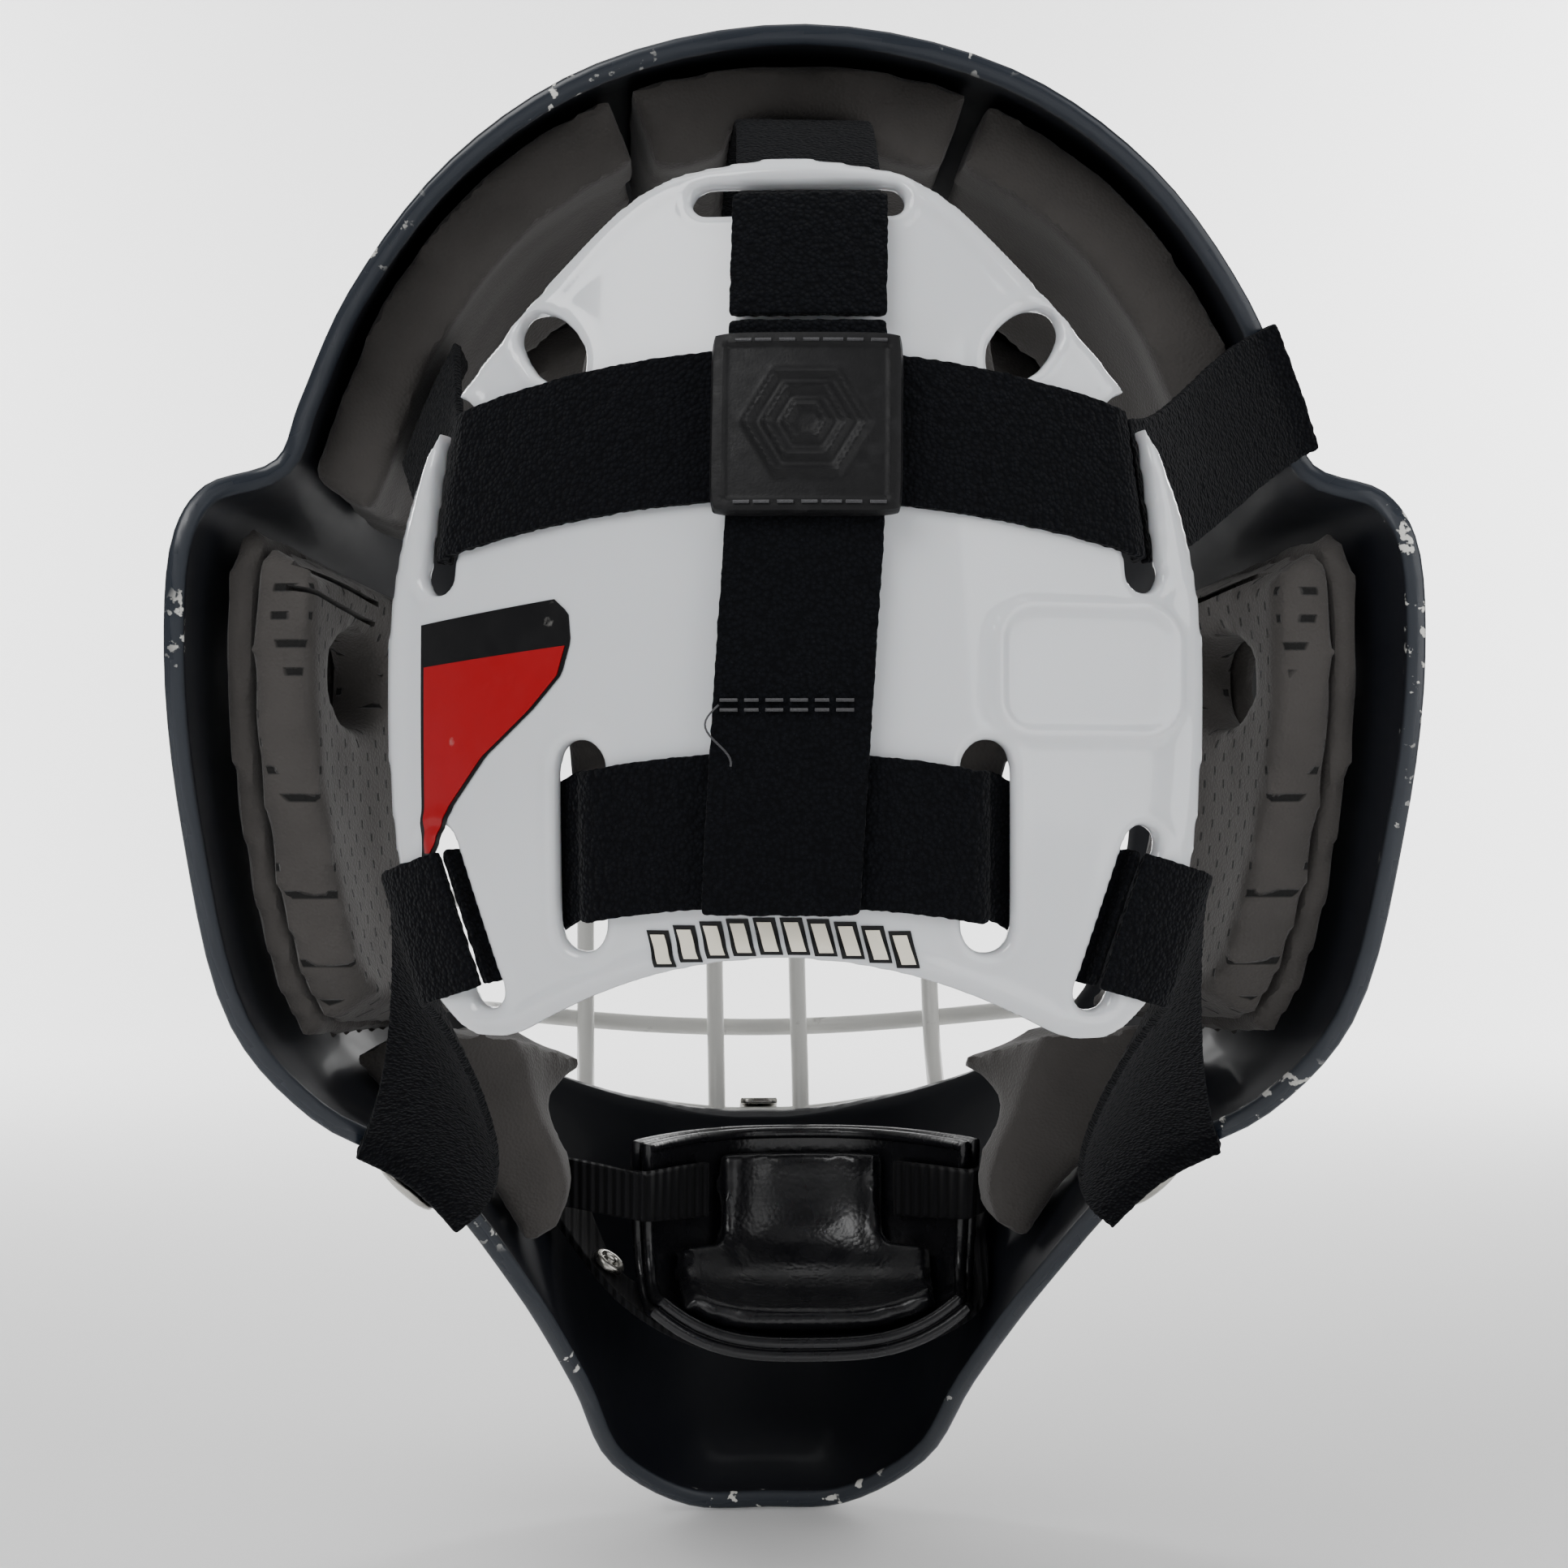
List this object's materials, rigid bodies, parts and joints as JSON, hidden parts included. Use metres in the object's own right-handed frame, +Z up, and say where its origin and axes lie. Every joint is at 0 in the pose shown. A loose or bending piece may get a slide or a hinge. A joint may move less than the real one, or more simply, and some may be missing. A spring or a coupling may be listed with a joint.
{
  "type": "goalie mask",
  "caption": "Ice hockey goalie mask with a moulded shell, wire cage, foam padding, chin cup, and a slotted back plate held by an elastic harness.",
  "frame": {"origin": "middle of the wearer's head at eye level", "axes": "+Z up, -Y the way the mask faces, +X the wearer's left"},
  "size_m": [0.247, 0.2808, 0.3186],
  "materials": {
    "shell": "satin near-black navy paint over a moulded composite shell, worn at the rim",
    "cage": "white powder coat on welded steel wire",
    "steel": "plain zinc-plated steel",
    "foam": "matt dark grey closed-cell foam",
    "plate": "glossy white moulded polyethylene with a rolled rim",
    "webbing": "black woven elastic with a looped face",
    "sweatband": "black brushed knit",
    "badge": "moulded black rubber patch",
    "vinyl": "soft black grained vinyl with a beaded edge"
  },
  "bodies": {
    "mask": {"cage": "cage", "cage_clip_brow_left": "steel", "cage_clip_brow_right": "steel", "cage_clip_chin": "steel", "cage_clip_side_left": "steel", "cage_clip_side_right": "steel", "cage_nut_brow_left": "steel", "cage_nut_brow_right": "steel", "cage_nut_chin": "steel", "cage_nut_side_left": "steel", "cage_nut_side_right": "steel", "cage_screw_brow_left": "steel", "cage_screw_brow_right": "steel", "cage_screw_chin": "steel", "cage_screw_side_left": "steel", "cage_screw_side_right": "steel", "cheek_base_left": "foam", "cheek_base_right": "foam", "cheek_pad_left": "foam", "cheek_pad_right": "foam", "chin_anchor_left": "steel", "chin_anchor_right": "steel", "chin_strap_left": "webbing", "chin_strap_right": "webbing", "forehead_pad": "foam", "jaw_pad_left": "foam", "jaw_pad_right": "foam", "lower_strap_left": "webbing", "lower_strap_right": "webbing", "shell": "shell", "strap_bolt_crown": "steel", "strap_bolt_lower_left": "steel", "strap_bolt_lower_right": "steel", "strap_bolt_upper_right": "steel", "strap_nut_crown": "steel", "strap_nut_lower_left": "steel", "strap_nut_lower_right": "steel", "strap_nut_upper_right": "steel", "sweatband": "sweatband", "temple_pad_left": "foam", "temple_pad_right": "foam", "top_pad": "foam", "top_strap": "webbing", "upper_strap_left": "webbing", "upper_strap_right": "webbing"},
    "back_plate": {"back_plate": "plate", "plate_liner": "foam", "upper_strap": "webbing", "lower_strap": "webbing", "vertical_strap_upper": "webbing", "vertical_strap_lower": "webbing", "badge": "badge"},
    "chin_cup": {"chin_cup": "vinyl", "chin_cup_liner": "foam", "chin_sling": "webbing", "chin_snap": "steel"}
  },
  "joints": [
    {"name": "back_plate_swing", "type": "hinge", "parent": "mask", "child": "back_plate", "pos_m": [0.0076, 0.08914, 0.101], "axis": [0.9925, -0.1219, 0], "range_deg": [-6, 20], "stiffness_Nm_per_rad": 2, "deforming": ["top_strap", "upper_strap_left", "upper_strap_right", "lower_strap_left", "lower_strap_right"]},
    {"name": "chin_cup_swing", "type": "hinge", "parent": "mask", "child": "chin_cup", "pos_m": [0, -0.101, -0.0948], "axis": [1, 0, 0], "range_deg": [-8, 8], "stiffness_Nm_per_rad": 0.5, "deforming": ["chin_sling", "chin_strap_left", "chin_strap_right"]}
  ]
}
